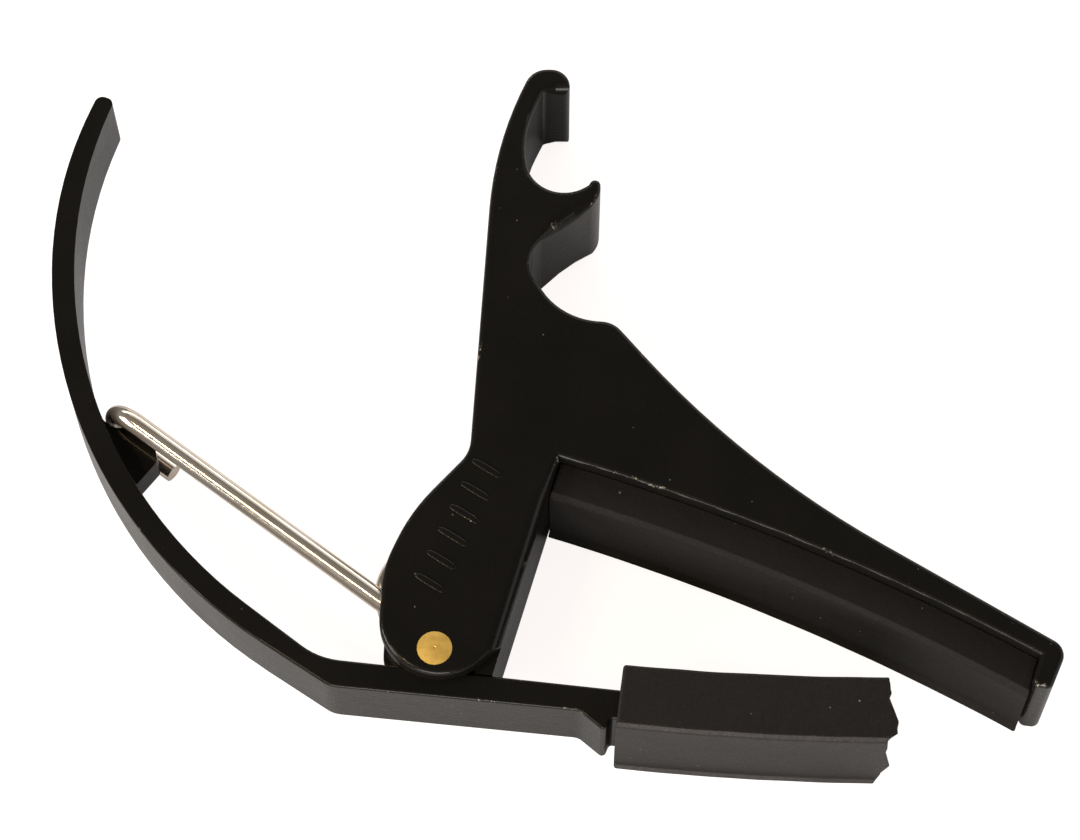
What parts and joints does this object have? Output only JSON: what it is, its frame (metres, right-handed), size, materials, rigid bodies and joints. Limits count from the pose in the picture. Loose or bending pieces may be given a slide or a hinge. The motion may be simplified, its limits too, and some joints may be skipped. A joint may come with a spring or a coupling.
{
  "type": "guitar capo",
  "caption": "Spring clamp capo for a guitar neck: padded string jaw with a pin-pulling notch in its handle, sprung lever with a rubber-sleeved neck rest.",
  "frame": {"origin": "centre of the overall bounding box in X and Y, on the flat side the capo lies on", "axes": "+X from the grips to the jaws' tips, +Y from the neck rest to the handle's claw, +Z across the capo, along the hinge, towards the pin's domed end"},
  "size_m": [0.1326, 0.0978, 0.0162],
  "materials": {
    "black_casting": "satin black coating over a light alloy casting",
    "black_rubber": "matte",
    "plated_wire": "bright nickel plate",
    "brass_pin": "polished"
  },
  "bodies": {
    "frame_body": {"frame": "black_casting", "string_pad": "black_rubber", "hinge_pin": "brass_pin"},
    "lever_body": {"lever": "black_casting", "neck_sleeve": "black_rubber"},
    "spring_body": {"torsion_spring": "plated_wire"}
  },
  "joints": [
    {"name": "lever_hinge", "type": "hinge", "parent": "frame_body", "child": "lever_body", "pos_m": [-0.01391, -0.0359, 0.008], "axis": [0, 0, -1], "range_deg": [0, 40], "stiffness_Nm_per_rad": 0.6, "springref_deg": -5.73},
    {"name": "coil_twist", "type": "hinge", "parent": "frame_body", "child": "spring_body", "pos_m": [-0.01556, -0.02596, 0.008], "axis": [0, 0, -1], "range_deg": [0, 50], "deforming": ["torsion_spring"]}
  ],
  "couplings": [
    {"joint": "coil_twist", "follows": "lever_hinge", "ratio": 1.24}
  ]
}
